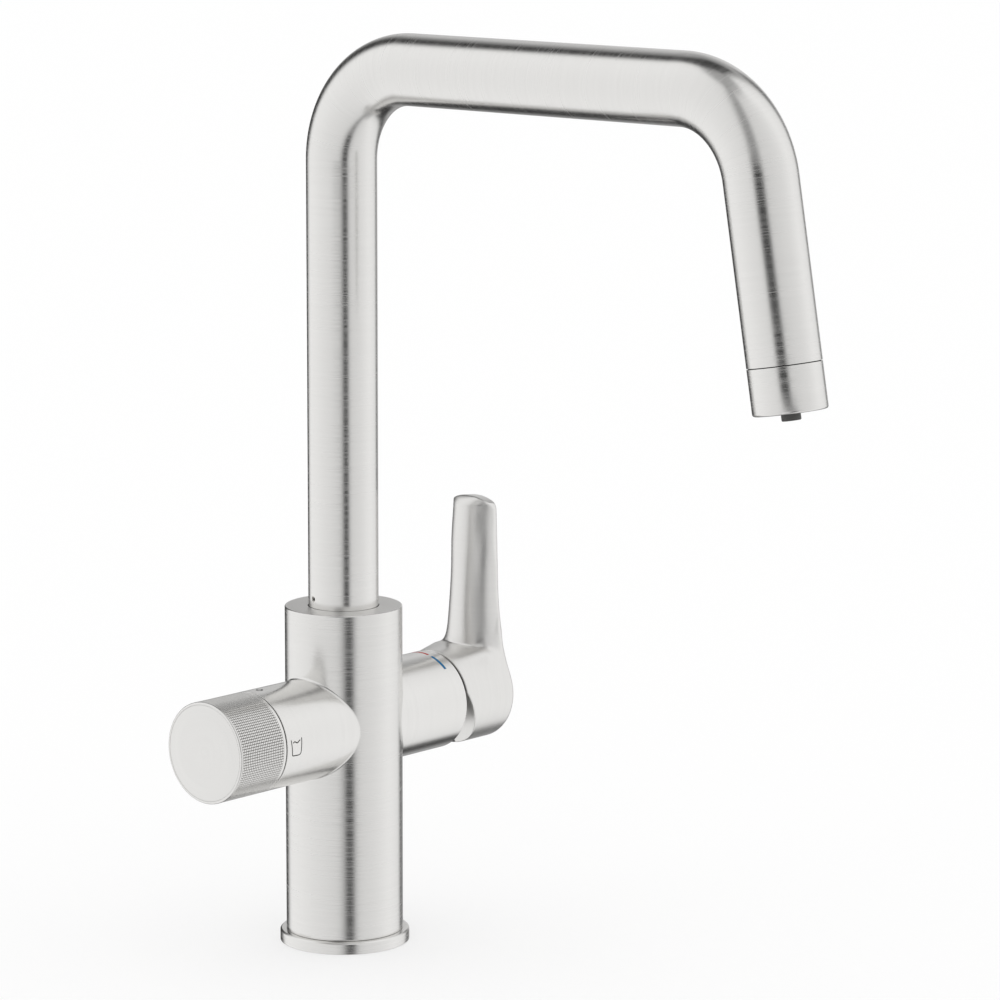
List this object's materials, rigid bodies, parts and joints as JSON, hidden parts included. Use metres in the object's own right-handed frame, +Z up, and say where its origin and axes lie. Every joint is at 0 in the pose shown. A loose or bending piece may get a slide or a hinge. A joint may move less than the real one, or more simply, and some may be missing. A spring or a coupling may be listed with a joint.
{
  "type": "water filter kitchen tap",
  "caption": "Deck-standing kitchen mixer with a square-bent swivel spout, a side lever for hot and cold water and a side knob for filtered water.",
  "frame": {"origin": "on the deck, on the axis of the round body: the middle of the face that stands on the worktop", "axes": "+Z up along the body and the riser, -Y the way the spout reaches, +X along the mixing lever's arm, -X along the filter knob's arm"},
  "size_m": [0.161, 0.2621, 0.3665],
  "materials": {
    "brushed_stainless": "satin, finely brushed",
    "plain_stainless": "turned",
    "turned_brass": "turned",
    "black_rubber": "matt",
    "white_plastic": "moulded",
    "clear_white_hose": "extruded",
    "dark_plastic": "moulded",
    "white_ceramic": "lapped"
  },
  "bodies": {
    "tap_body": {"base_ring": "brushed_stainless", "base_gasket": "black_rubber", "body_casting": "brushed_stainless", "spout_slide_ring": "white_plastic", "spout_stop_screw": "plain_stainless", "hose_oring": "black_rubber", "filter_headpart": "turned_brass", "filter_fixed_disc": "white_ceramic", "filter_seal": "black_rubber", "knob_guide_ring": "white_plastic", "cartridge_housing": "white_plastic", "cartridge_seal": "black_rubber", "cartridge_fixed_disc": "white_ceramic", "cartridge_nut": "plain_stainless"},
    "spout": {"spout_tube": "brushed_stainless", "swivel_insert": "turned_brass", "swivel_orings": "black_rubber", "spout_clamp_screw": "plain_stainless", "filter_hose": "clear_white_hose", "outlet_adapter": "turned_brass", "aerator_sleeve": "brushed_stainless", "aerator_gasket": "black_rubber", "aerator_insert": "white_plastic", "filter_nozzle": "dark_plastic"},
    "filter_knob": {"filter_knob": "brushed_stainless", "knob_cap": "brushed_stainless", "knob_screw": "plain_stainless", "filter_spindle": "turned_brass", "spindle_oring": "black_rubber", "spindle_clip": "plain_stainless", "filter_moving_disc": "white_ceramic"},
    "lever_carrier": {"cartridge_carrier": "white_plastic", "pivot_pin": "plain_stainless"},
    "mixer_disc": {"cartridge_moving_disc": "white_ceramic"},
    "lever": {"lever": "brushed_stainless", "lever_spindle": "plain_stainless", "lever_grub_screw": "plain_stainless", "lever_plug": "dark_plastic"}
  },
  "joints": [
    {"name": "spout_swivel", "type": "hinge", "parent": "tap_body", "child": "spout", "pos_m": [0, 0, 0.1323], "axis": [0, 0, 1], "range_deg": [-75, 75]},
    {"name": "filter_knob_turn", "type": "hinge", "parent": "tap_body", "child": "filter_knob", "pos_m": [-0.0667, 0, 0.0903], "axis": [1, 0, 0], "range_deg": [0, 90]},
    {"name": "lever_turn", "type": "hinge", "parent": "tap_body", "child": "lever_carrier", "pos_m": [0.0465, 0, 0.0903], "axis": [1, 0, 0], "range_deg": [-45, 45]},
    {"name": "lever_lift", "type": "hinge", "parent": "lever_carrier", "child": "lever", "pos_m": [0.0465, 0, 0.0903], "axis": [0, 1, 0], "range_deg": [0, 20]},
    {"name": "mixer_disc_slide", "type": "slide", "parent": "lever_carrier", "child": "mixer_disc", "axis": [0, 0, 1], "range_m": [0, 0.0037]}
  ],
  "couplings": [
    {"joint": "mixer_disc_slide", "follows": "lever_lift", "m_per_rad": 0.0103}
  ]
}
